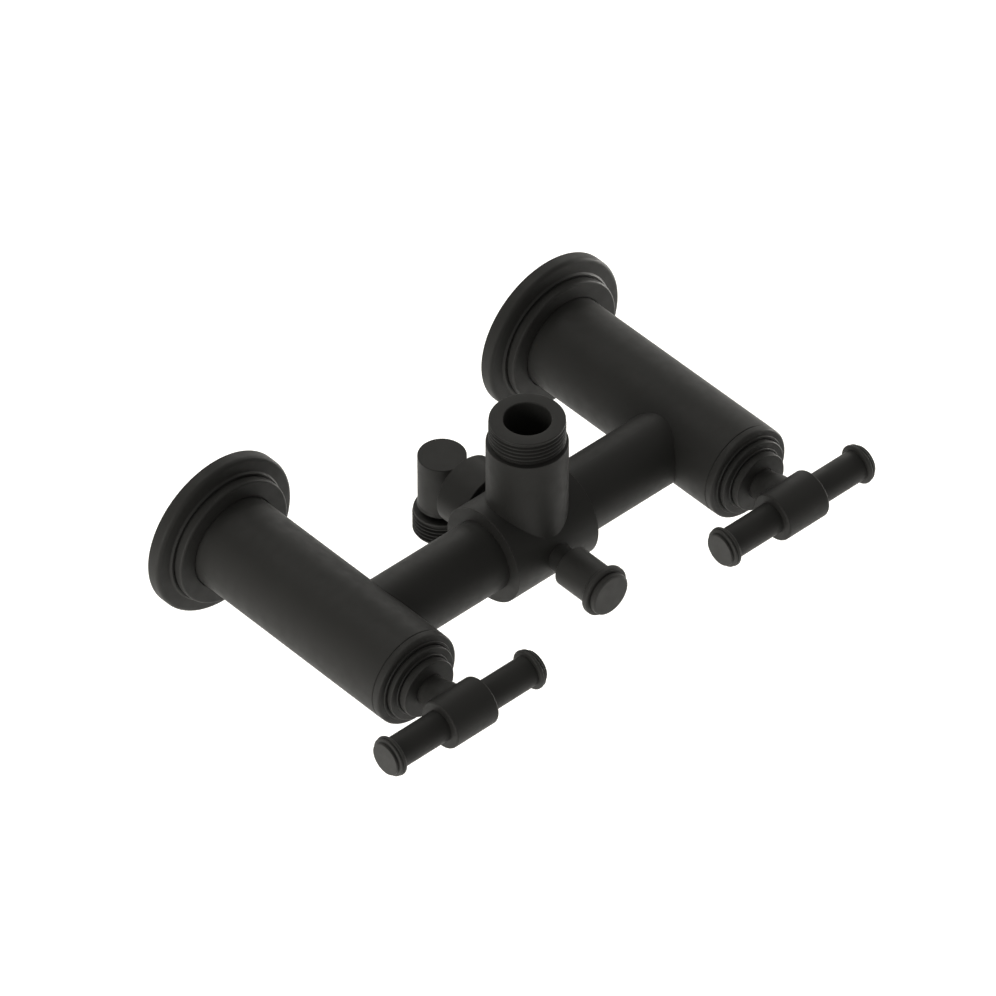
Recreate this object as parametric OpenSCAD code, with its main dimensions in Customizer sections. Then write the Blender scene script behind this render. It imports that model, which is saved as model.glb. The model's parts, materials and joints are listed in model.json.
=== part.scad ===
// Wall mounted bath faucet: two legs, a crossbar, a riser outlet and a rear hose outlet.
// Units are mm. X runs along the crossbar, +Y goes into the wall, Z is up.
// The finished wall is the plane Y = 0 and the origin lies midway between the two inlets.
// "Reach" values are distances out from the wall, measured towards the user.

/* [Layout] */
// Distance between the two wall inlets
inlet_centres = 152.4; // [148:0.1:160]
// Reach of the crossbar centre line
bar_reach = 71.6; // [71:0.1:72.5]
// Reach of the front end of the legs
leg_reach = 99.4; // [99:0.1:100]
// Reach of the handle bar centre line
handle_reach = 123.9; // [123:0.1:126]
// Height of the riser outlet rim above the crossbar centre line
riser_height = 52.1; // [48:0.1:80]
// Distance of the riser axis in front of the crossbar centre line
riser_ahead = 2; // [0:0.1:2.5]

/* [Legs and wall plates] */
// Diameter of each leg
leg_d = 35.1; // [34.6:0.1:36.4]
// Diameter of each wall plate
plate_d = 60.6; // [58:0.1:70]
// Depth of each wall plate
plate_depth = 10; // [9.6:0.1:11]

/* [Crossbar and centre body] */
// Diameter of the crossbar tubes
bar_d = 26.1; // [25.6:0.1:26.8]
// Diameter of the centre body
body_d = 36.2; // [35.8:0.1:37.4]
// Width of the centre body
body_w = 36.6; // [36:0.1:40]

/* [Outlets] */
// Diameter of the riser tube
riser_d = 28.2; // [27.8:0.1:30]
// Outside diameter of the riser thread, G 3/4
riser_thread_d = 26.4; // [26:0.05:26.44]
// Bore of the riser
riser_bore_d = 16.4; // [15:0.1:16.6]
// Diameter of the upright hose outlet
elbow_d = 17; // [16.2:0.1:17.2]
// Height of the top of the hose outlet above the crossbar centre line
elbow_top = 7.5; // [7:0.1:12]
// Reach of the hose outlet centre line
elbow_reach = 30.7; // [29:0.1:31.4]
// Outside diameter of the hose thread, G 1/2
hose_thread_d = 20.7; // [20.65:0.05:20.95]

/* [Handles] */
// Diameter of the handle bars
grip_d = 11.4; // [11:0.1:11.8]
// Half the length of a handle bar over its end caps
grip_half = 33.9; // [31:0.1:40]
// Diameter of the handle hubs
hub_d = 17.9; // [17.6:0.1:19]
// Width of the handle hubs
hub_w = 18.8; // [17:0.1:22]

/* [Diverter] */
// Diameter of the diverter knob
knob_d = 14.8; // [14.6:0.1:15.5]
// Diameter over the bead at the front of the diverter knob
knob_bead_d = 18.8; // [18.4:0.1:20]

/* [Hidden] */
$fn = 96;
cx = inlet_centres / 2;
leg_r = leg_d / 2;
bar_r = bar_d / 2;
body_r = body_d / 2;
riser_r = riser_d / 2;
hub_r = hub_d / 2;
grip_r = grip_d / 2;
knob_r = knob_d / 2;
bead_r = knob_bead_d / 2;
elbow_r = elbow_d / 2;
bore_r = riser_bore_d / 2;
tail_r = 10.45;
riser_reach = bar_reach + riser_ahead;
chamber = bar_reach - 11.6;

// ---------------------------------------------------------------- helpers

// Places children on a leg axis, their +Z pointing out of the wall and +Y pointing up.
module on_leg(side) {
  translate([side * cx, 0, 0])
    rotate([90, 0, 0])
      children();
}

// Places children on the diverter axis, their +Z pointing out of the wall.
module on_centre() {
  rotate([90, 0, 0])
    children();
}

// Places children on an X axis at the given reach, their +Z pointing to +X.
module along_x(x, reach) {
  translate([x, -reach, 0])
    rotate([0, 90, 0])
      children();
}

module rod(r, a, b) {
  translate([0, 0, a])
    cylinder(h = b - a, r = r);
}

module turned(points) {
  rotate_extrude()
    polygon(points);
}

// O-ring that fills the space between an inner and an outer radius.
module o_ring(inner, outer, at) {
  translate([0, 0, at])
    rotate_extrude()
      translate([(inner + outer) / 2, 0])
        circle(r = (outer - inner) / 2, $fn = 32);
}

function spline_points(inner, outer, teeth) = [
  for (i = [0 : teeth - 1])
    for (k = [0 : 3])
      let (a = 360 / teeth * (i + [0, 0.2, 0.5, 0.7][k]), r = k < 2 ? inner : outer)
        [r * cos(a), r * sin(a)]
];

// Two opposite quarter ports of a ceramic disc.
module disc_ports(a, b, turn) {
  for (k = [0, 180])
    rotate([0, 0, turn + k])
      intersection() {
        difference() {
          rod(7.2, a, b);
          rod(2.2, a - 1, b + 1);
        }
        translate([0, 0, a - 1])
          linear_extrude(b - a + 2)
            polygon([[0, 0], [20, -17], [20, 17]]);
      }
}

// ---------------------------------------------------------------- wall side

module wall_plate(side) {
  r = plate_d / 2;
  d = plate_depth;
  color("#2b2b2a")
    on_leg(side)
      turned([
        [r - 0.3, 0], [r, 0.3], [r, 3.4], [r - 0.25, 4.2], [r - 0.85, 4.85], [r - 1.8, 5.15],
        [25.5, 5.5], [24.9, 5.65], [24.55, 6.1], [24.1, 6.15], [23.7, 5.85], [23.45, 6.25],
        [23.6, 6.85], [24.1, 7.15], [24.1, d - 0.9], [23.85, d - 0.3], [23.3, d],
        [leg_r + 0.5, d], [leg_r + 0.12, d - 0.4], [leg_r + 0.12, 8.2], [leg_r + 1.35, 8.2],
        [leg_r + 1.35, 6], [leg_r + 0.12, 6], [leg_r + 0.12, 4.4], [21.6, 4.4], [21.6, 0]
      ]);
}

module plate_ring(side) {
  color("#3a3a3a")
    on_leg(side)
      o_ring(leg_r + 0.02, leg_r + 1.33, 7.1);
}

module wall_adaptor(side) {
  color("#b08d4a")
    on_leg(side)
      turned([
        [6.5, -11], [tail_r - 0.7, -11], [tail_r, -10.3], [tail_r, 0.1], [14, 0.1], [14, 2.7],
        [13.6, 3.1], [11, 3.1], [11, 7.8], [9.7, 7.8], [9.7, 10.1], [11, 10.1],
        [11, 14.2], [9.9, 15.2], [9.9, 17.8], [11, 18.8], [11, 22.4], [10.4, 23], [6.5, 23]
      ]);
}

module adaptor_seal(side) {
  color("#3a3a3a")
    on_leg(side)
      o_ring(9.71, 11.04, 8.95);
}

// ---------------------------------------------------------------- legs

module leg(side) {
  color("#2b2b2a")
    difference() {
      on_leg(side)
        difference() {
          turned([
            [11.05, 4.8], [leg_r - 0.5, 4.8], [leg_r, 5.3],
            [leg_r, leg_reach - 0.3], [leg_r - 0.3, leg_reach],
            [14.55, leg_reach], [14.55, chamber + 33.4], [12.6, chamber + 33.4],
            [12.6, chamber + 32], [10.5, chamber + 32], [10.5, chamber + 24],
            [11.2, chamber + 23.3], [11.2, chamber], [6, chamber], [6, 24.2], [11.05, 24.2]
          ]);
          translate([0, 0, 16.5])
            rotate([90, 0, 0])
              rod(2.5, 8, 20);
        }
      translate([side * cx, -bar_reach, 0])
        rotate([0, -side * 90, 0])
          rod(10.52, 4, 20);
    }
}

module headwork(side) {
  color("#b08d4a")
    on_leg(side)
      difference() {
        union() {
          turned([
            [8.3, chamber + 1.2], [9.1, chamber + 1.2], [9.1, chamber + 23], [9.4, chamber + 23.6],
            [9.4, chamber + 24], [10.44, chamber + 24.6], [10.44, chamber + 31.2],
            [9.8, chamber + 31.6], [9.8, chamber + 33.6], [11.8, chamber + 33.6],
            [11.8, chamber + 33.9], [5.05, chamber + 33.9], [5.05, chamber + 12.7],
            [8.3, chamber + 12.7]
          ]);
          translate([0, 0, chamber + 33.8])
            cylinder(h = 3.2, r = 12, $fn = 6);
        }
        rod(5.05, chamber + 32, chamber + 38);
        for (k = [0, 180])
          rotate([0, 0, k])
            translate([4, -5, chamber + 6])
              cube([8, 10, 6.2]);
      }
}

module headwork_seal(side) {
  color("#3a3a3a")
    on_leg(side)
      o_ring(9.82, 11.35, chamber + 32.8);
}

module seat_ring(side) {
  color("#3a3a3a")
    on_leg(side)
      turned([
        [7.1, chamber + 0.02], [7.9, chamber + 0.02], [8.1, chamber + 0.6], [8.25, chamber + 1.4],
        [8.25, chamber + 3.5], [7.1, chamber + 3.5]
      ]);
}

module fixed_disc(side) {
  color("#e8e4da")
    on_leg(side)
      difference() {
        rod(8.27, chamber + 3.52, chamber + 6.5);
        disc_ports(chamber + 3, chamber + 7, 0);
      }
}

module moving_disc(side) {
  color("#e8e4da")
    on_leg(side)
      difference() {
        rod(8.23, chamber + 6.54, chamber + 9.3);
        disc_ports(chamber + 6, chamber + 10, 90);
      }
}

module spindle(side) {
  color("#c9a35c")
    on_leg(side)
      difference() {
        union() {
          difference() {
            rod(8.1, chamber + 9.32, chamber + 12.6);
            disc_ports(chamber + 9, chamber + 13, 90);
          }
          turned([
            [0, chamber + 12], [5, chamber + 12], [5, chamber + 21.2], [3.9, chamber + 21.2],
            [3.9, chamber + 22.8], [5, chamber + 22.8], [5, chamber + 37.1], [4.3, chamber + 37.1],
            [4.3, chamber + 38.1], [4.8, chamber + 38.1], [4.8, chamber + 39.2], [3.6, chamber + 40],
            [0, chamber + 40]
          ]);
          translate([0, 0, chamber + 39.5])
            linear_extrude(handle_reach - chamber - 45.8)
              polygon(spline_points(3.6, 3.98, 20));
        }
        translate([0, 0, handle_reach - 10.4])
          rotate([90, 0, 0])
            rod(2.05, 3.1, 6);
      }
}

module spindle_seal(side) {
  color("#3a3a3a")
    on_leg(side)
      o_ring(3.92, 5.02, chamber + 22);
}

module circlip(side) {
  color("#8e9296")
    on_leg(side)
      difference() {
        rod(6.4, chamber + 37.15, chamber + 38);
        rod(4.33, chamber + 36, chamber + 39);
        translate([-1.2, -8, chamber + 36])
          cube([2.4, 8, 4]);
      }
}

module bonnet(side) {
  f = leg_reach;
  color("#2b2b2a")
    on_leg(side)
      turned([
        [13.1, f - 4.3], [14.2, f - 4.3], [14.5, f - 4], [14.5, f + 0.05],
        [leg_r - 0.4, f + 0.05], [leg_r - 0.05, f + 0.4], [leg_r - 0.05, f + 1.9],
        [leg_r - 0.2, f + 2.4], [leg_r - 0.6, f + 2.85], [leg_r - 1.2, f + 3.1],
        [15.3, f + 3.1], [15.05, f + 3.5], [14.5, f + 3.5], [14.1, f + 3.2], [13.75, f + 3.6],
        [14.1, f + 4.05], [14.1, f + 5.3], [13.8, f + 5.65], [13.3, f + 5.7],
        [11.8, f + 5.7], [11.55, f + 6.05], [11.1, f + 6.05], [10.75, f + 5.75],
        [10.5, f + 6.1], [10.95, f + 6.5], [10.95, f + 8.75], [10.85, f + 9.05], [10.5, f + 9.2],
        [5.56, f + 9.2], [5.56, f + 5.2], [7.6, f + 5.2], [7.6, f + 0.6], [13.1, f + 0.6]
      ]);
}

module leg_grub_screws() {
  color("#8e9296")
    for (side = [-1, 1])
      on_leg(side)
        translate([0, 0, 16.5])
          rotate([90, 0, 0])
            difference() {
              turned([[0, 9.95], [1.2, 9.95], [2.46, 11.2], [2.46, 16], [2.2, 16.3], [0, 16.3]]);
              translate([0, 0, 14])
                cylinder(h = 3, r = 1.44, $fn = 6);
            }
}

// ---------------------------------------------------------------- handles

module handle_hub(side) {
  s = handle_reach;
  w = hub_w / 2;
  color("#2b2b2a")
    difference() {
      union() {
        along_x(side * cx, s)
          turned([
            [0, -w], [hub_r - 0.6, -w], [hub_r - 0.18, -w + 0.18], [hub_r, -w + 0.6],
            [hub_r, w - 0.6], [hub_r - 0.18, w - 0.18], [hub_r - 0.6, w], [0, w]
          ]);
        on_leg(side)
          turned([
            [0, s - 18], [5.2, s - 18], [5.5, s - 17.7], [5.5, s - 15.2], [5.7, s - 13.4],
            [6.1, s - 11.6], [6.5, s - 10.2], [6.85, s - 8.8], [7, s - 5], [0, s - 5]
          ]);
      }
      along_x(side * cx, s)
        rod(grip_r + 0.03, -20, 20);
      on_leg(side)
        translate([0, 0, s - 19])
          linear_extrude(13)
            polygon(spline_points(3.66, 4.04, 20));
      on_leg(side) {
        translate([0, 0, s - 10.4])
          rotate([90, 0, 0])
            rod(2, 2, 10);
        translate([0, 0, s])
          rotate([90, 0, 0])
            rod(2, 3, 10);
      }
    }
}

module handle_bar(side) {
  t = grip_half - 3.8;
  color("#2b2b2a")
    difference() {
      along_x(side * cx, handle_reach)
        turned([
          [0, -t + 7], [2.95, -t + 7], [2.95, -t], [grip_r - 0.1, -t], [grip_r, -t + 0.1],
          [grip_r, t - 0.1], [grip_r - 0.1, t], [2.95, t], [2.95, t - 7], [0, t - 7]
        ]);
      on_leg(side)
        translate([0, 0, handle_reach])
          rotate([90, 0, 0])
            rod(2.05, 5.2, 8);
    }
}

// End cap of a handle bar: two beads, a groove and a flat button, with its threaded stud.
module end_cap(side, end) {
  t = grip_half - 3.8;
  color("#2b2b2a")
    translate([side * cx, -handle_reach, 0])
      rotate([0, end * 90, 0])
        turned([
          [0, t - 6], [2.6, t - 6], [2.9, t - 5.7], [2.9, t + 0.02], [6, t + 0.02],
          [6.8, t + 0.25], [7.25, t + 0.55], [7.35, t + 0.9], [7.3, t + 1.15], [7.05, t + 1.4],
          [6.7, t + 1.6], [6.95, t + 1.8], [7.05, t + 2], [7, t + 2.2], [6.75, t + 2.4],
          [6.1, t + 2.6], [5.7, t + 2.8], [5.7, t + 3.05], [5.95, t + 3.15], [6, t + 3.3],
          [5.9, t + 3.6], [5.6, t + 3.8], [0, t + 3.8]
        ]);
}

module screw_m4() {
  difference() {
    turned([[0, 0], [1.3, 0], [1.95, 0.6], [1.95, 2.7], [1.7, 2.95], [0, 2.95]]);
    translate([0, 0, 1.4])
      cylinder(h = 3, r = 1.15, $fn = 6);
  }
}

module handle_screws(side) {
  color("#8e9296")
    on_leg(side) {
      translate([0, 0, handle_reach - 10.4])
        rotate([90, 0, 0])
          translate([0, 0, 3.15])
            screw_m4();
      translate([0, 0, handle_reach])
        rotate([90, 0, 0])
          translate([0, 0, 5.25])
            screw_m4();
    }
}

// ---------------------------------------------------------------- crossbar and body

module crossbar(side) {
  e = body_w / 2;
  color("#2b2b2a")
    difference() {
      translate([side * cx, -bar_reach, 0])
        rotate([0, -side * 90, 0])
          turned([
            [8, 11.4], [bar_r, 11.4], [bar_r, cx - e + 1.9], [bar_r - 1.15, cx - e + 1.9],
            [bar_r - 1.15, cx - e + 3.4], [bar_r, cx - e + 3.4], [bar_r, cx - e + 5.6],
            [bar_r - 0.3, cx - e + 5.9], [8, cx - e + 5.9]
          ]);
      difference() {
        on_leg(side)
          rod(leg_r + 0.02, bar_reach - 20, bar_reach + 20);
        along_x(side * cx, bar_reach)
          rod(10.5, -30, 30);
      }
    }
}

module crossbar_seal(side) {
  e = body_w / 2;
  color("#3a3a3a")
    translate([side * cx, -bar_reach, 0])
      rotate([0, -side * 90, 0])
        o_ring(bar_r - 1.13, bar_r + 0.02, cx - e + 2.65);
}

module centre_body() {
  e = body_w / 2;
  color("#2b2b2a")
    difference() {
      along_x(0, bar_reach)
        turned([
          [8.02, -e + 6], [bar_r + 0.03, -e + 6], [bar_r + 0.03, -e], [body_r - 0.1, -e],
          [body_r, -e + 0.1], [body_r, e - 0.1], [body_r - 0.1, e], [bar_r + 0.03, e],
          [bar_r + 0.03, e - 6], [8.02, e - 6]
        ]);
      on_centre() {
        rod(10.02, bar_reach - 22, bar_reach + 12.9);
        rod(6.53, bar_reach + 10, bar_reach + 15.45);
        rod(5.03, bar_reach + 10, bar_reach + 20);
      }
      translate([0, -riser_reach, 0])
        rod(9.53, 5, 22);
    }
}

module riser_outlet() {
  h = riser_height;
  r = riser_thread_d / 2;
  color("#2b2b2a")
    difference() {
      translate([0, -riser_reach, 0])
        turned([
          [bore_r, 11.2], [9.5, 11.2], [9.5, 7], [riser_r, 7],
          [riser_r, h - 10.2], [riser_r - 0.3, h - 9.9], [r - 0.95, h - 9.9], [r - 0.95, h - 8.9],
          [r, h - 8.5], [r, h - 2.4], [r - 0.3, h - 0.9], [r - 0.3, h - 0.3], [r - 0.6, h],
          [bore_r + 0.4, h], [bore_r, h - 0.4]
        ]);
      difference() {
        along_x(0, bar_reach)
          rod(body_r + 0.02, -20, 20);
        translate([0, -riser_reach, 0])
          rod(9.505, 11.2, 30);
      }
    }
}

// ---------------------------------------------------------------- rear hose outlet

module rear_boss() {
  s = bar_reach - body_r;
  color("#2b2b2a")
    difference() {
      on_centre()
        turned([
          [6.03, 42.1], [12.75, 42.1], [12.85, 42.2], [12.85, s + 1.5], [12.65, s + 1.7],
          [10, s + 1.7], [10, s + 4.8], [5, s + 4.8], [5, 50.5], [6.03, 50.5]
        ]);
      difference() {
        along_x(0, bar_reach)
          rod(body_r + 0.02, -20, 20);
        on_centre()
          rod(10.005, 40, 70);
      }
    }
}

module hose_elbow() {
  color("#2b2b2a")
    difference() {
      union() {
        translate([0, -elbow_reach, 0])
          turned([
            [0, -14.2], [elbow_r + 0.1, -14.2], [elbow_r + 0.3, -14], [elbow_r + 0.15, -13.4],
            [elbow_r, -12.8], [elbow_r, elbow_top - 0.2], [elbow_r - 0.2, elbow_top], [0, elbow_top]
          ]);
        on_centre()
          turned([
            [0, elbow_reach + 4], [5.97, elbow_reach + 4], [5.97, 44.4], [4.9, 44.4],
            [4.9, 46], [5.97, 46], [5.97, 49.9], [5.6, 50.3], [0, 50.3]
          ]);
      }
      translate([0, -elbow_reach, 0]) {
        rod(7, -18, -9);
        rod(5.2, -10, 2.5);
      }
      on_centre()
        rod(3.6, elbow_reach, 52);
    }
}

module elbow_seal() {
  color("#3a3a3a")
    on_centre()
      o_ring(4.92, 6.01, 45.2);
}

module hose_nipple() {
  r = hose_thread_d / 2;
  color("#2b2b2a")
    translate([0, -elbow_reach, 0])
      turned([
        [5.2, -25.9], [r - 1, -25.9], [r, -25.1], [r, -17.5], [r - 0.25, -17.2], [r - 0.35, -16.6],
        [r - 0.6, -16.2], [r - 1, -16], [6.97, -16], [6.97, -10.2], [6.6, -9.8], [5.2, -9.8]
      ]);
}

module check_valve() {
  color("#c8ccd0")
    translate([0, -elbow_reach, 0])
      union() {
        difference() {
          turned([[0, -24], [4.7, -24], [5.15, -23.5], [5.15, -12.5], [4.7, -12], [0, -12]]);
          rod(3.9, -21.5, -11);
          for (k = [0 : 3])
            rotate([0, 0, 90 * k])
              translate([2.5, 0, 0])
                rod(0.9, -25, -20);
        }
        turned([
          [0, -22], [1, -22], [1, -17.5], [3.2, -16], [3.2, -15.2], [1, -14.2], [0, -14.2]
        ]);
      }
}

// ---------------------------------------------------------------- diverter

// Inlet windows lie behind the middle seat, the riser window in front of it.
module diverter_cage() {
  s = bar_reach;
  color("#b08d4a")
    difference() {
      on_centre()
        turned([
          [5, s - 12.9], [10, s - 12.9], [10, s + 12.8], [3.4, s + 12.8], [3.4, s + 11.3],
          [7.6, s + 11.3], [7.6, s + 0.6], [5, s + 0.6], [5, s - 0.9], [7.6, s - 0.9],
          [7.6, s - 11.4], [5, s - 11.4]
        ]);
      translate([-15, -s + 1.8, -5])
        cube([30, 8.8, 10]);
      translate([-5, -s - 10.4, 0])
        cube([10, 8.8, 15]);
    }
}

module diverter_plunger() {
  s = bar_reach;
  color("#c9a35c")
    on_centre()
      turned([
        [0, s - 13.4], [1.8, s - 13.4], [1.98, s - 13.2], [1.98, s - 8.3], [4.4, s - 8.3],
        [4.4, s - 7.1], [2.95, s - 6.6], [2.95, s + 36.85], [2.4, s + 36.85], [2.4, s + 40.5],
        [2.1, s + 40.8], [0, s + 40.8]
      ]);
}

module diverter_seal() {
  s = bar_reach;
  color("#3a3a3a")
    on_centre()
      turned([
        [2, s - 11.35], [6.6, s - 11.35], [6.9, s - 11.05], [6.9, s - 8.65], [6.6, s - 8.35],
        [2, s - 8.35]
      ]);
}

module diverter_seal_nut() {
  s = bar_reach;
  color("#8e9296")
    on_centre()
      difference() {
        translate([0, 0, s - 13.2])
          cylinder(h = 1.82, r = 4.1, $fn = 6);
        rod(2, s - 14, s - 11);
      }
}

module diverter_gland() {
  s = bar_reach;
  color("#2b2b2a")
    on_centre()
      turned([
        [3, s + 12.95], [6.2, s + 12.95], [6.5, s + 13.25], [6.5, s + 15.4], [5, s + 15.4],
        [5, s + 34.1], [4.7, s + 34.4], [3, s + 34.4], [3, s + 22], [4.25, s + 22],
        [4.25, s + 20.2], [3, s + 20.2]
      ]);
}

module gland_seal() {
  color("#3a3a3a")
    on_centre()
      o_ring(2.98, 4.23, bar_reach + 21.1);
}

module diverter_knob() {
  s = bar_reach;
  color("#2b2b2a")
    on_centre()
      turned([
        [5.35, s + 24], [knob_r - 0.3, s + 24], [knob_r, s + 24.3], [knob_r, s + 38.5],
        [bead_r - 1.5, s + 38.9], [bead_r - 0.8, s + 39.4], [bead_r - 0.2, s + 39.9],
        [bead_r, s + 40.4], [bead_r, s + 40.7], [bead_r - 0.2, s + 41.1], [bead_r - 0.7, s + 41.5],
        [bead_r - 1.4, s + 41.65], [5, s + 41.65], [5, s + 39.6], [2.43, s + 39.6],
        [2.43, s + 36.9], [5.35, s + 36.9]
      ]);
}

module diverter_knob_cap() {
  s = bar_reach;
  color("#2b2b2a")
    on_centre()
      turned([
        [2.9, s + 39.65], [4.95, s + 39.65], [4.95, s + 41.7], [bead_r - 1.9, s + 41.7],
        [bead_r - 1.8, s + 42], [bead_r - 1.5, s + 42.2], [bead_r - 1.5, s + 43.1],
        [bead_r - 1.6, s + 43.45], [bead_r - 1.9, s + 43.85], [bead_r - 2.3, s + 44],
        [0, s + 44], [0, s + 40.9], [2.9, s + 40.9]
      ]);
}

// ---------------------------------------------------------------- output

wall_plate(-1);  // left_wall_plate
plate_ring(-1);  // left_plate_ring
wall_adaptor(-1);  // left_wall_adaptor
adaptor_seal(-1);  // left_adaptor_seal
leg(-1);  // left_leg
headwork(-1);  // left_headwork
headwork_seal(-1);  // left_headwork_seal
seat_ring(-1);  // left_seat_ring
fixed_disc(-1);  // left_fixed_disc
moving_disc(-1);  // left_moving_disc
spindle(-1);  // left_spindle
spindle_seal(-1);  // left_spindle_seal
circlip(-1);  // left_circlip
bonnet(-1);  // left_bonnet
handle_hub(-1);  // left_handle_hub
handle_bar(-1);  // left_handle_bar
end_cap(-1, -1);  // left_outer_end_cap
end_cap(-1, 1);  // left_inner_end_cap
handle_screws(-1);  // left_handle_screws
crossbar(-1);  // left_crossbar
crossbar_seal(-1);  // left_crossbar_seal
wall_plate(1);  // right_wall_plate
plate_ring(1);  // right_plate_ring
wall_adaptor(1);  // right_wall_adaptor
adaptor_seal(1);  // right_adaptor_seal
leg(1);  // right_leg
headwork(1);  // right_headwork
headwork_seal(1);  // right_headwork_seal
seat_ring(1);  // right_seat_ring
fixed_disc(1);  // right_fixed_disc
moving_disc(1);  // right_moving_disc
spindle(1);  // right_spindle
spindle_seal(1);  // right_spindle_seal
circlip(1);  // right_circlip
bonnet(1);  // right_bonnet
handle_hub(1);  // right_handle_hub
handle_bar(1);  // right_handle_bar
end_cap(1, 1);  // right_outer_end_cap
end_cap(1, -1);  // right_inner_end_cap
handle_screws(1);  // right_handle_screws
crossbar(1);  // right_crossbar
crossbar_seal(1);  // right_crossbar_seal
leg_grub_screws();
centre_body();
riser_outlet();
rear_boss();
hose_elbow();
elbow_seal();
hose_nipple();
check_valve();
diverter_cage();
diverter_plunger();
diverter_seal();
diverter_seal_nut();
diverter_gland();
gland_seal();
diverter_knob();
diverter_knob_cap();
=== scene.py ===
import bpy
import json
import math
from mathutils import Matrix, Vector


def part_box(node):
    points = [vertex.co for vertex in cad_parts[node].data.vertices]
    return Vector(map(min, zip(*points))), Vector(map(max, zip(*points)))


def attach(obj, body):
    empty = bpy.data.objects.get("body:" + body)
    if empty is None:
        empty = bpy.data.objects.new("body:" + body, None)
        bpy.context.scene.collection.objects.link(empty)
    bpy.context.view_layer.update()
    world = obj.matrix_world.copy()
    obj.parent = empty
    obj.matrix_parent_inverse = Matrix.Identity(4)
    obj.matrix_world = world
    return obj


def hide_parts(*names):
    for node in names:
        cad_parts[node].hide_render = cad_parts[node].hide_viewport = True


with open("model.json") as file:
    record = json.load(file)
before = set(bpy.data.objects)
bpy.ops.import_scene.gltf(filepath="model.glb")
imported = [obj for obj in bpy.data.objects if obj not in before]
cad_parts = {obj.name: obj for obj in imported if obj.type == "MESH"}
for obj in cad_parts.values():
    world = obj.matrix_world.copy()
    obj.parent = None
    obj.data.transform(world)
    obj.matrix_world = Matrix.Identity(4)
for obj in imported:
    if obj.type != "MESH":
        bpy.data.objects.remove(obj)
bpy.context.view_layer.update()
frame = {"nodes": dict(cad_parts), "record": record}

MM = 0.001
SIDES = (("left", -1), ("right", 1))
SEGMENTS = 160
THREAD_PITCH = 1.59
THREAD_DEPTH = 0.86
THREAD_RUNOUT = 0.5
THREAD_ROWS = 14
THREAD_FLAT = 0.14
THREAD_SLOPE = 0.72
NEAR_CREST = 1

WARM_WHITE = (1, 0.984, 0.94)
LAMP_CENTRE = Vector((0, -0.07, 0))
LAMP_DISTANCE = 1.9
LAMP_SIZE = 1.1
FLOOR_HEIGHT = -0.7

OUT = Vector((0, -1, 0))
UP = Vector((0, 0, 1))


# ------------------------------------------------------------------ places

def middle(node):
    lo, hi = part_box(node)
    return (lo + hi) / 2


def reach(node):
    """Distance of a node's front from the wall, in mm."""
    return -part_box(node)[0].y / MM


def width(node, axis):
    lo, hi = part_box(node)
    return (hi[axis] - lo[axis]) / MM


def mount_radius(name):
    for mount in frame["record"]["mounts"]:
        if mount["name"] == name:
            return mount["dims"]["r_mm"]


def place(centre, direction):
    turn = direction.to_track_quat("Z", "Y").to_matrix().to_4x4()
    return Matrix.Translation(centre) @ turn


# ------------------------------------------------------------------ turned pieces

def rounded(corners, steps=7):
    """Closed outline of (radius, along) from corners of (radius, along, fillet), all in mm."""
    outline = []
    count = len(corners)
    for i, (r, s, fillet) in enumerate(corners):
        here = Vector((r, s))
        before = Vector(corners[i - 1][:2]) - here
        after = Vector(corners[(i + 1) % count][:2]) - here
        half = before.angle(after) / 2
        cut = min(fillet / math.tan(half), 0.49 * before.length, 0.49 * after.length)
        if cut < 0.01 or half > math.radians(88):
            outline.append(here)
            continue
        start = here + before.normalized() * cut
        end = here + after.normalized() * cut
        for k in range(steps + 1):
            t = k / steps
            bend = start * (1 - t) ** 2 + here * 2 * t * (1 - t) + end * t ** 2
            outline.append(bend)
    return outline


def anticlockwise(outline):
    area = 0
    for a, b in zip(outline, outline[1:] + outline[:1]):
        area += a.x * b.y - b.x * a.y
    return outline if area > 0 else outline[::-1]


def edge_normals(outline, crease=math.radians(32)):
    """For each edge of the outline, the outward normals at its two ends."""
    count = len(outline)
    flat = []
    size = []
    for i in range(count):
        edge = outline[(i + 1) % count] - outline[i]
        size.append(edge.length)
        flat.append(Vector((edge.y, -edge.x)).normalized())
    ends = []
    for i in range(count):
        j = (i + 1) % count
        pair = []
        for other in (i - 1, j):
            if flat[i].angle(flat[other]) < crease:
                pair.append((flat[i] * size[i] + flat[other] * size[other]).normalized())
            else:
                pair.append(flat[i])
        ends.append(pair)
    return ends


def surface(name, points, faces, normals=None):
    mesh = bpy.data.meshes.new(name)
    mesh.from_pydata(points, [], faces)
    mesh.shade_smooth()
    if normals:
        mesh.normals_split_custom_set(normals)
    else:
        mesh.set_sharp_from_angle(angle=math.radians(50))
    piece = bpy.data.objects.new(name, mesh)
    bpy.context.collection.objects.link(piece)
    return piece


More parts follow.
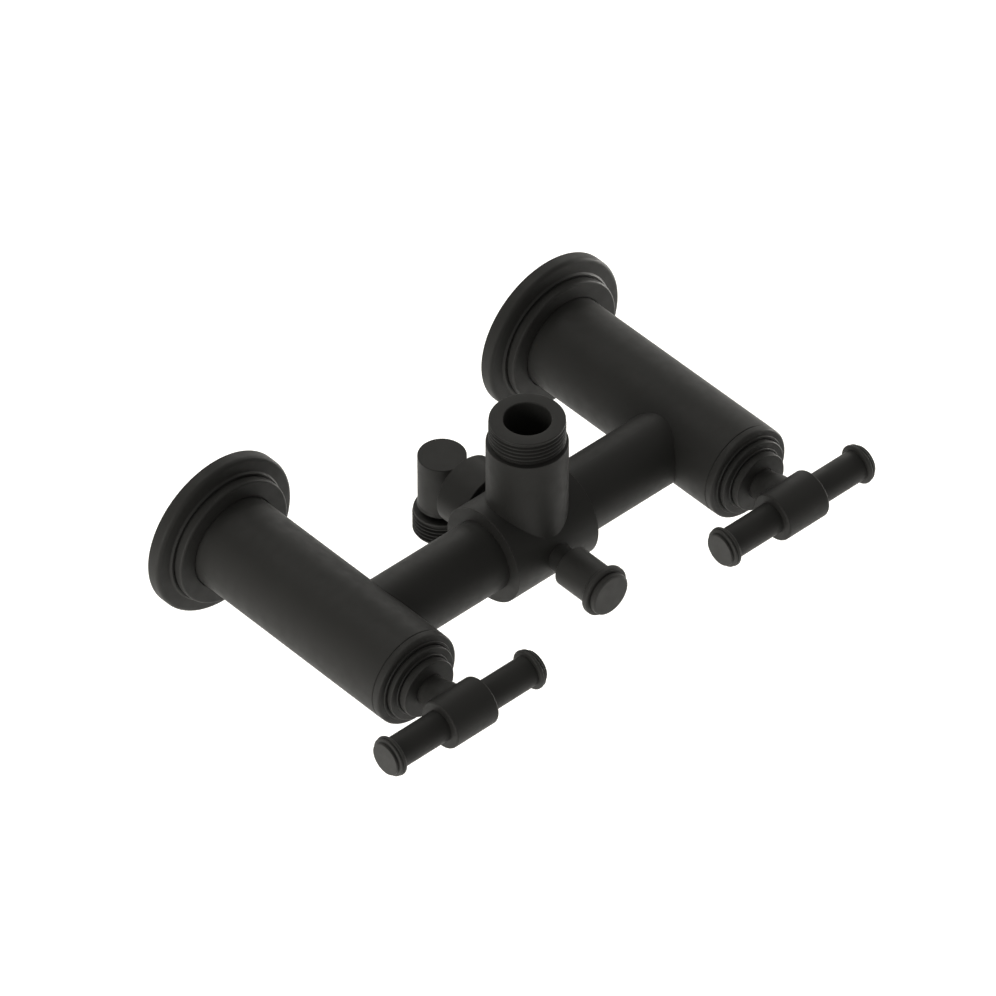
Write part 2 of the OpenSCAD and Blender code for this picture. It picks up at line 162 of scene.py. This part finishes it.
def lathe(name, corners, where):
    """Turns an outline about the local Z of where, with exact normals."""
    outline = anticlockwise(rounded(corners))
    ends = edge_normals(outline)
    turn = where.to_3x3()
    angles = [2 * math.pi * k / SEGMENTS for k in range(SEGMENTS)]
    points = []
    first = []
    for p in outline:
        first.append(len(points))
        ring = angles if p.x > 1e-6 else [0]
        for a in ring:
            points.append(where @ (Vector((p.x * math.cos(a), p.x * math.sin(a), p.y)) * MM))
    faces = []
    normals = []
    count = len(outline)
    for i in range(count):
        j = (i + 1) % count
        pole_i = outline[i].x <= 1e-6
        pole_j = outline[j].x <= 1e-6
        if pole_i and pole_j:
            continue
        for k in range(SEGMENTS):
            n = (k + 1) % SEGMENTS
            if pole_i:
                face = [(first[i], 0, k), (first[j] + n, 1, n), (first[j] + k, 1, k)]
            elif pole_j:
                face = [(first[i] + k, 0, k), (first[i] + n, 0, n), (first[j], 1, k)]
            else:
                face = [
                    (first[i] + k, 0, k), (first[i] + n, 0, n),
                    (first[j] + n, 1, n), (first[j] + k, 1, k),
                ]
            faces.append([corner[0] for corner in face])
            for _, end, a in face:
                n2 = ends[i][end]
                across = Vector((n2.x * math.cos(angles[a]), n2.x * math.sin(angles[a]), n2.y))
                normals.append(turn @ across)
    return surface(name, points, faces, normals)


def thread_wave(phase):
    """Depth of a thread, 0 on the crest and 1 in the root, over one turn of phase."""
    t = abs((phase % 1) * 2 - 1)
    sloped = min(max((t - THREAD_FLAT) / THREAD_SLOPE, 0), 1)
    return sloped * sloped * (3 - 2 * sloped) * 0.5 + sloped * 0.5


def threaded(name, corners, where, start, end, phase=0):
    """Turned piece with a helical thread cut into its outside from start to end along it.

    The thread runs out at both ends. Phase turns it about its axis; 1 is a full turn.
    """
    outline = anticlockwise(rounded(corners))
    crest = max(p.x for p in outline if start < p.y < end or abs(p.y - start) < 0.3)
    rows = []
    count = len(outline)
    for i in range(count):
        a = outline[i]
        b = outline[(i + 1) % count]
        rows.append(a)
        near = min(a.x, b.x) > crest - NEAR_CREST
        if near and min(a.y, b.y) < end and max(a.y, b.y) > start and abs(b.y - a.y) > 0.2:
            pieces = math.ceil(abs(b.y - a.y) / (THREAD_PITCH / THREAD_ROWS))
            for k in range(1, pieces):
                rows.append(a.lerp(b, k / pieces))
    points = []
    for p in rows:
        for k in range(SEGMENTS):
            turn = k / SEGMENTS
            r = p.x
            if p.x > crest - NEAR_CREST and start <= p.y <= end:
                fade = min((p.y - start) / THREAD_RUNOUT, (end - p.y) / THREAD_RUNOUT, 1)
                r -= THREAD_DEPTH * fade * thread_wave(p.y / THREAD_PITCH - turn + phase)
            a = 2 * math.pi * turn
            points.append(where @ (Vector((r * math.cos(a), r * math.sin(a), p.y)) * MM))
    faces = []
    total = len(rows)
    for i in range(total):
        j = (i + 1) % total
        for k in range(SEGMENTS):
            n = (k + 1) % SEGMENTS
            faces.append([i * SEGMENTS + k, i * SEGMENTS + n, j * SEGMENTS + n, j * SEGMENTS + k])
    return surface(name, points, faces)


# ------------------------------------------------------------------ materials

def new_material(name, colour, metallic, roughness, specular=0.5):
    material = bpy.data.materials.new(name)
    material.use_nodes = True
    nodes = material.node_tree.nodes
    shader = nodes["Principled BSDF"]
    shader.inputs["Base Color"].default_value = (*colour, 1)
    shader.inputs["Metallic"].default_value = metallic
    shader.inputs["Roughness"].default_value = roughness
    shader.inputs["Specular IOR Level"].default_value = specular
    return material


def noise(material, scale, detail=3):
    nodes = material.node_tree.nodes
    links = material.node_tree.links
    where = nodes.new("ShaderNodeTexCoord")
    texture = nodes.new("ShaderNodeTexNoise")
    texture.inputs["Scale"].default_value = scale
    texture.inputs["Detail"].default_value = detail
    links.new(where.outputs["Object"], texture.inputs["Vector"])
    return texture.outputs["Fac"]


def vary_colour(material, source, dark, light):
    nodes = material.node_tree.nodes
    links = material.node_tree.links
    ramp = nodes.new("ShaderNodeValToRGB")
    ramp.color_ramp.elements[0].position = 0.3
    ramp.color_ramp.elements[0].color = (*dark, 1)
    ramp.color_ramp.elements[1].position = 0.7
    ramp.color_ramp.elements[1].color = (*light, 1)
    links.new(source, ramp.inputs["Fac"])
    links.new(ramp.outputs["Color"], nodes["Principled BSDF"].inputs["Base Color"])


def vary_roughness(material, source, low, high):
    nodes = material.node_tree.nodes
    links = material.node_tree.links
    span = nodes.new("ShaderNodeMapRange")
    span.inputs["From Min"].default_value = 0.3
    span.inputs["From Max"].default_value = 0.7
    span.inputs["To Min"].default_value = low
    span.inputs["To Max"].default_value = high
    links.new(source, span.inputs["Value"])
    links.new(span.outputs["Result"], nodes["Principled BSDF"].inputs["Roughness"])


def add_bump(material, source, strength, depth_mm):
    nodes = material.node_tree.nodes
    links = material.node_tree.links
    bump = nodes.new("ShaderNodeBump")
    bump.inputs["Strength"].default_value = strength
    bump.inputs["Distance"].default_value = depth_mm * MM
    links.new(source, bump.inputs["Height"])
    links.new(bump.outputs["Normal"], nodes["Principled BSDF"].inputs["Normal"])


def matte_black(name, shade):
    """Fine powder finish: an even grain with faint patches of gloss."""
    # A shade above 1 makes a lighter copy of this black that stands in for light: painted light.
    colour = Vector((0.0213, 0.021, 0.0198)) * shade
    material = new_material(name, colour, 0, 0.55, 0.208 * shade)
    vary_colour(material, noise(material, 60), colour * 0.95, colour * 1.05)
    vary_roughness(material, noise(material, 240), 0.5, 0.6)
    add_bump(material, noise(material, 3200, 2), 0.25, 0.02)
    return material


def machined_brass():
    material = new_material("bare_brass", (0.62, 0.42, 0.18), 1, 0.3)
    vary_colour(material, noise(material, 90), (0.55, 0.36, 0.15), (0.68, 0.48, 0.22))
    vary_roughness(material, noise(material, 700), 0.22, 0.42)
    add_bump(material, noise(material, 2600, 2), 0.2, 0.02)
    return material


def seal_rubber():
    material = new_material("seal_rubber", (0.02, 0.02, 0.02), 0, 0.75, 0.35)
    vary_roughness(material, noise(material, 900), 0.65, 0.85)
    add_bump(material, noise(material, 2200), 0.3, 0.03)
    return material


def disc_ceramic():
    material = new_material("disc_ceramic", (0.86, 0.84, 0.79), 0, 0.16)
    vary_colour(material, noise(material, 300), (0.82, 0.8, 0.75), (0.88, 0.86, 0.81))
    vary_roughness(material, noise(material, 500), 0.1, 0.22)
    return material


def stainless_steel():
    material = new_material("stainless_steel", (0.5, 0.5, 0.5), 1, 0.32)
    vary_roughness(material, noise(material, 1200), 0.25, 0.42)
    add_bump(material, noise(material, 3000, 2), 0.15, 0.015)
    return material


def valve_plastic():
    material = new_material("valve_plastic", (0.6, 0.63, 0.65), 0, 0.42)
    vary_roughness(material, noise(material, 600), 0.36, 0.5)
    add_bump(material, noise(material, 1800), 0.15, 0.02)
    return material


MATERIALS = {
    "matte_black": matte_black("matte_black", 1),
    # Copy of the matte black 1.32 times lighter: painted light on the end caps and the knob.
    "matte_black_painted_lit": matte_black("matte_black_painted_lit", 1.32),
    "bare_brass": machined_brass(),
    "seal_rubber": seal_rubber(),
    "disc_ceramic": disc_ceramic(),
    "stainless_steel": stainless_steel(),
    "valve_plastic": valve_plastic(),
}
SLOT_OF = {row["node"]: row["material_slot"] for row in frame["record"]["subparts"]}
# Parts that get the lighter copy of the matte black: painted light.
PAINTED_LIT_PARTS = ("end_cap", "diverter_knob", "diverter_knob_cap")


def dress(piece, node):
    """The end caps and the diverter knob get a copy of the matte black 1.32 times lighter than the
    rest: painted light.
    """
    finish = "matte_black_painted_lit" if node.endswith(PAINTED_LIT_PARTS) else SLOT_OF[node]
    piece.data.materials.clear()
    piece.data.materials.append(MATERIALS[finish])


def stands_for(piece, node, body):
    """Gives a detailed piece the finish and the body of the CAD node that it replaces."""
    dress(piece, node)
    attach(piece, body)
    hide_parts(node)


# ------------------------------------------------------------------ wall side

LEG_R = width("left_leg", 0) / 2
LEG_FRONT = reach("left_leg")


def leg_axis(side):
    return place(Vector((middle(side + "_wall_plate").x, 0, 0)), OUT)


def wall_plate(side):
    node = side + "_wall_plate"
    r = width(node, 0) / 2
    d = reach(node)
    bore = LEG_R + 0.12
    ring = LEG_R + 1.35
    corners = [
        (21.6, 0, 0.2), (r, 0, 0.3), (r, 5.05, 1.75), (25.3, 5.5, 0.5), (24.7, 6.2, 0.2),
        (24, 6.2, 0.2), (23.45, 5.75, 0.15), (23.45, 6.95, 0.2), (24.1, 7.2, 0.15), (24.1, d, 0.95),
        (bore, d, 0.4), (bore, 8.2, 0), (ring, 8.2, 0), (ring, 6, 0), (bore, 6, 0),
        (bore, 4.4, 0.2), (21.6, 4.4, 0.3),
    ]
    stands_for(lathe(node + "_turned", corners, leg_axis(side)), node, "faucet_body")


def wall_adaptor(side):
    node = side + "_wall_adaptor"
    tail = mount_radius("inlet_" + side)
    corners = [
        (6.5, -11, 0.2), (tail - 0.7, -11, 0.1), (tail, -10.3, 0), (tail, 0.1, 0), (14, 0.1, 0.2),
        (14, 2.9, 0.4), (11, 3.1, 0.1), (11, 7.8, 0.1), (9.7, 7.8, 0.1), (9.7, 10.1, 0.1),
        (11, 10.1, 0.1), (11, 14.2, 0.1), (9.9, 15.2, 0.1), (9.9, 17.8, 0.1), (11, 18.8, 0.1),
        (11, 23, 0.6), (6.5, 23, 0.2),
    ]
    piece = threaded(node + "_threaded", corners, leg_axis(side), -10.4, -0.6)
    stands_for(piece, node, "faucet_body")


def bonnet(side):
    node = side + "_bonnet"
    f = LEG_FRONT
    r = LEG_R - 0.05
    corners = [
        (13.1, f - 4.3, 0), (14.5, f - 4.3, 0.25), (14.5, f + 0.05, 0), (r, f + 0.05, 0.35),
        (r, f + 3.1, 1.2), (15.2, f + 3.1, 0.05), (15.05, f + 3.5, 0.2), (14.4, f + 3.5, 0.2),
        (13.7, f + 3.25, 0.1), (13.8, f + 3.85, 0.1), (14.1, f + 4.1, 0.2), (14.1, f + 5.7, 0.5),
        (11.75, f + 5.7, 0.05), (11.55, f + 6.05, 0.2), (11.05, f + 6.05, 0.2),
        (10.5, f + 5.8, 0.1), (10.55, f + 6.3, 0.1), (10.95, f + 6.6, 0.2), (10.95, f + 9.2, 0.4),
        (5.56, f + 9.2, 0.25), (5.56, f + 5.2, 0), (7.6, f + 5.2, 0), (7.6, f + 0.6, 0),
        (13.1, f + 0.6, 0),
    ]
    stands_for(lathe(node + "_turned", corners, leg_axis(side)), node, "faucet_body")


# ------------------------------------------------------------------ handles

def end_cap(side, end, direction):
    node = side + "_" + end + "_end_cap"
    bar = middle(side + "_handle_bar")
    lo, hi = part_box(node)
    tip = max(abs(lo.x - bar.x), abs(hi.x - bar.x)) / MM
    t = tip - 3.8
    corners = [
        (0, t - 6, 0), (2.9, t - 6, 0.3), (2.9, t + 0.02, 0), (6, t + 0.02, 0.1), (7.36, t + 0.2, 0.7),
        (7.36, t + 1.35, 0.5), (6.65, t + 1.6, 0.08), (7.06, t + 1.75, 0.25), (7.06, t + 2.4, 0.35),
        (6.1, t + 2.6, 0.1), (5.7, t + 2.75, 0.05), (5.7, t + 3.08, 0.05), (6, t + 3.12, 0.1),
        (6, t + 3.8, 0.45), (0, t + 3.8, 0),
    ]
    where = place(bar, Vector((direction, 0, 0)))
    stands_for(lathe(node + "_turned", corners, where), node, side + "_handle")


# ------------------------------------------------------------------ outlets

def riser_outlet():
    """Threaded tube whose foot is fitted to the round of the centre body."""
    node = "riser_outlet"
    axis = Vector((middle(node).x, middle(node).y, 0))
    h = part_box(node)[1].z / MM
    tube = width(node, 0) / 2
    crest = mount_radius("riser_outlet")
    bore = mount_radius("riser_waterway")
    ledge = 11.2
    foot = ledge - 4
    corners = [
        (bore, ledge, 0), (9.5, ledge, 0), (9.5, foot, 0), (tube, foot, 0), (tube, h - 9.8, 0.3),
        (crest - 0.9, h - 9.8, 0.1), (crest - 0.9, h - 9, 0.1), (crest, h - 8.6, 0),
        (crest, h - 1.2, 0), (crest - 0.1, h - 0.8, 0), (crest - 0.1, h, 0.3), (bore, h, 0.45),
    ]
    piece = threaded(node + "_threaded", corners, place(axis, UP), h - 9.2, h - 0.4, 0.45)
    body_r = width("centre_body", 2) / 2 * MM
    body_y = middle("centre_body").y
    for vertex in piece.data.vertices:
        if vertex.co.z < (ledge - 1) * MM:
            vertex.co.z = math.sqrt(body_r ** 2 - (vertex.co.y - body_y) ** 2)
    stands_for(piece, node, "faucet_body")


def hose_nipple():
    node = "hose_nipple"
    axis = Vector((middle(node).x, middle(node).y, 0))
    r = mount_radius("hose_outlet")
    corners = [
        (5.2, -25.9, 0.2), (r - 0.9, -25.9, 0.1), (r, -25.1, 0), (r, -17.5, 0),
        (r - 0.3, -17.1, 0), (r - 0.35, -16, 0.7), (6.97, -16, 0), (6.97, -9.8, 0.4),
        (5.2, -9.8, 0.1),
    ]
    piece = threaded(node + "_threaded", corners, place(axis, UP), -25.4, -17.3)
    stands_for(piece, node, "faucet_body")


# ------------------------------------------------------------------ diverter

def diverter_knob():
    node = "diverter_knob"
    s = -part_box(node)[1].y / MM - 24
    bead = width(node, 0) / 2
    r = 7.4
    corners = [
        (5.35, s + 24, 0.1), (r, s + 24, 0.35), (r, s + 38.6, 0.3), (bead - 1.5, s + 38.8, 0.1),
        (bead, s + 39.3, 1), (bead, s + 41.65, 1.1), (bead - 1.4, s + 41.65, 0.05),
        (5, s + 41.65, 0), (5, s + 39.6, 0), (2.43, s + 39.6, 0), (2.43, s + 36.9, 0),
        (5.35, s + 36.9, 0),
    ]
    stands_for(lathe(node + "_turned", corners, place(Vector(), OUT)), node, "diverter")


def diverter_knob_cap():
    node = "diverter_knob_cap"
    f = reach(node)
    r = width(node, 0) / 2
    corners = [
        (2.9, f - 4.35, 0), (4.95, f - 4.35, 0), (4.95, f - 2.3, 0), (r - 0.35, f - 2.3, 0),
        (r - 0.35, f - 2, 0.05), (r, f - 1.8, 0.1), (r, f - 0.25, 0.5), (r - 0.8, f, 0.4),
        (0, f, 0), (0, f - 3.1, 0), (2.9, f - 3.1, 0),
    ]
    stands_for(lathe(node + "_turned", corners, place(Vector(), OUT)), node, "diverter")


# ------------------------------------------------------------------ studio

def camera():
    azimuth, elevation = math.radians(-42.414), math.radians(42.1365)
    back = Vector((
        math.sin(azimuth) * math.cos(elevation),
        -math.cos(azimuth) * math.cos(elevation),
        math.sin(elevation),
    ))
    right = Vector((math.cos(azimuth), math.sin(azimuth), 0))
    up = back.cross(right)
    data = bpy.data.cameras.new("camera")
    data.sensor_width = 36
    data.lens = 375.84
    data.clip_start = 0.5
    data.clip_end = 30
    eye = bpy.data.objects.new("camera", data)
    bpy.context.collection.objects.link(eye)
    turn = Matrix((right, up, back)).transposed().to_4x4()
    eye.matrix_world = Matrix.Translation((-1.766639, -1.992774, 2.376188)) @ turn
    bpy.context.scene.camera = eye


def soft_light(name, azimuth, elevation, power):
    """Round lamp aimed at the faucet's middle; azimuth 0 is in front, 90 on its right."""
    azimuth = math.radians(azimuth)
    elevation = math.radians(elevation)
    towards = Vector((
        math.sin(azimuth) * math.cos(elevation),
        -math.cos(azimuth) * math.cos(elevation),
        math.sin(elevation),
    ))
    data = bpy.data.lights.new(name, "AREA")
    data.shape = "DISK"
    data.size = LAMP_SIZE
    data.energy = power
    data.color = WARM_WHITE
    lamp = bpy.data.objects.new(name, data)
    bpy.context.collection.objects.link(lamp)
    lamp.location = LAMP_CENTRE + towards * LAMP_DISTANCE
    lamp.rotation_euler = towards.to_track_quat("Z", "Y").to_euler()


def studio():
    world = bpy.data.worlds.new("studio")
    bpy.context.scene.world = world
    world.use_nodes = True
    background = world.node_tree.nodes["Background"]
    background.inputs["Color"].default_value = (*WARM_WHITE, 1)
    background.inputs["Strength"].default_value = 0.296
    bpy.context.scene.view_settings.view_transform = "Standard"
    soft_light("left_light", -90, 15, 11.8)
    soft_light("left_low_light", -90, -18, 13.3)
    soft_light("right_light", 90, 15, 8.2)
    soft_light("right_low_light", 90, -18, 41.6)
    soft_light("right_back_light", 135, 15, 6.2)
    soft_light("back_light", 180, 15, 6.1)
    soft_light("high_back_light", 180, 55, 6.2)
    bpy.ops.mesh.primitive_plane_add(size=12, location=(0, 0, FLOOR_HEIGHT))
    ground = bpy.context.object
    ground.name = "floor"
    paper = new_material("floor", (0.9, 0.9, 0.9), 0, 0.9, 0)
    shader = paper.node_tree.nodes["Principled BSDF"]
    shader.inputs["Emission Color"].default_value = (*WARM_WHITE, 1)
    shader.inputs["Emission Strength"].default_value = 0.52
    ground.data.materials.append(paper)


# ------------------------------------------------------------------ the faucet

camera()
studio()
for name, piece in frame["nodes"].items():
    dress(piece, name)
for side, sign in SIDES:
    wall_plate(side)
    wall_adaptor(side)
    bonnet(side)
    end_cap(side, "outer", sign)
    end_cap(side, "inner", -sign)
riser_outlet()
hose_nipple()
diverter_knob()
diverter_knob_cap()
